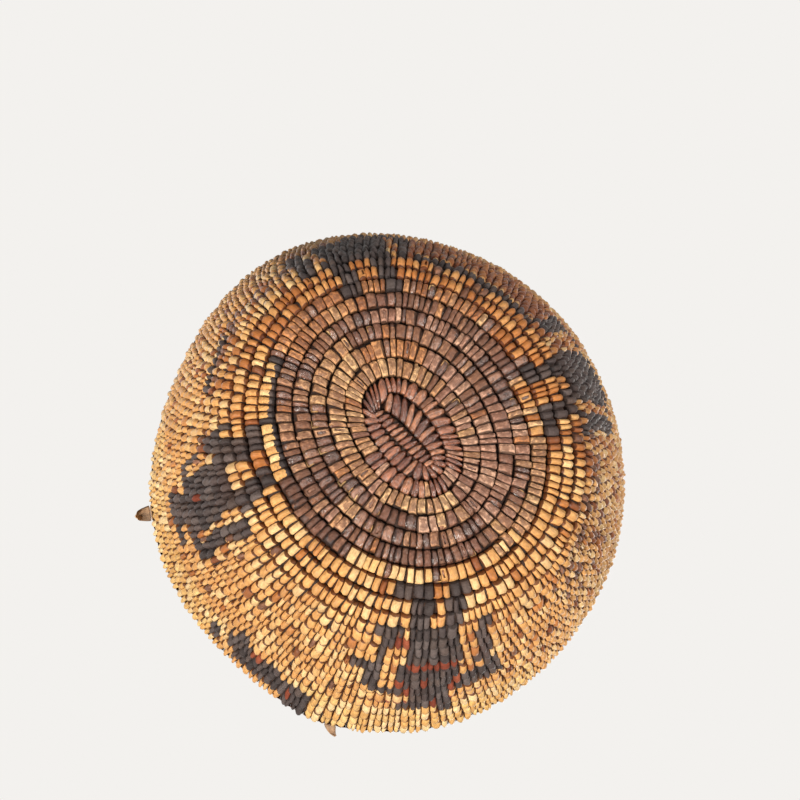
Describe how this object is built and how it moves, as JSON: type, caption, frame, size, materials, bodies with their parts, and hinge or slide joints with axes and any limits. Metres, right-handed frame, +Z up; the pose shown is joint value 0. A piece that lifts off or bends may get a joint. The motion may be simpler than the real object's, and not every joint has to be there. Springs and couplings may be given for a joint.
{
  "type": "coiled basket",
  "caption": "Round coiled basket with an oval flat base, a flaring wall of folded strip work and a rim coil that carries hide thongs.",
  "frame": {"origin": "on the worn underside of the start rod, at its middle", "axes": "+Z up through the mouth, +X along the long way of the oval base, +Y across it"},
  "size_m": [0.2535, 0.2442, 0.1011],
  "materials": {
    "root": "split cedar root, brown, polished by wear",
    "worn_strip": "worn brown strip folds with a few tan ones",
    "straw_strip": "golden straw strip folds with dark figures",
    "pale_strip": "pale straw strip folds, plain",
    "hide": "greyed tan hide"
  },
  "bodies": {
    "basket": {"start_rod": "root", "start_coil": "root", "base_coil_inner": "worn_strip", "base_coil_outer": "worn_strip", "heel_coil": "straw_strip", "wall_coil_lower": "straw_strip", "wall_coil_middle": "straw_strip", "wall_coil_upper": "straw_strip", "wall_coil_top": "pale_strip", "rim_coil": "pale_strip", "thong_loop_1": "hide", "thong_knot_1": "hide", "thong_loop_2": "hide", "thong_knot_2": "hide"},
    "thong_end_1": {"thong_tail_1": "hide"},
    "thong_end_2": {"thong_tail_2": "hide"}
  },
  "joints": [
    {"name": "thong_swing_1", "type": "hinge", "parent": "basket", "child": "thong_end_1", "pos_m": [0.08604, 0.09108, 0.09684], "axis": [0.7337, -0.6794, 0], "range_deg": [-60, 80]},
    {"name": "thong_swing_2", "type": "hinge", "parent": "basket", "child": "thong_end_2", "pos_m": [-0.04902, 0.1106, 0.098], "axis": [0.9265, 0.3762, 0], "range_deg": [-60, 80]}
  ]
}
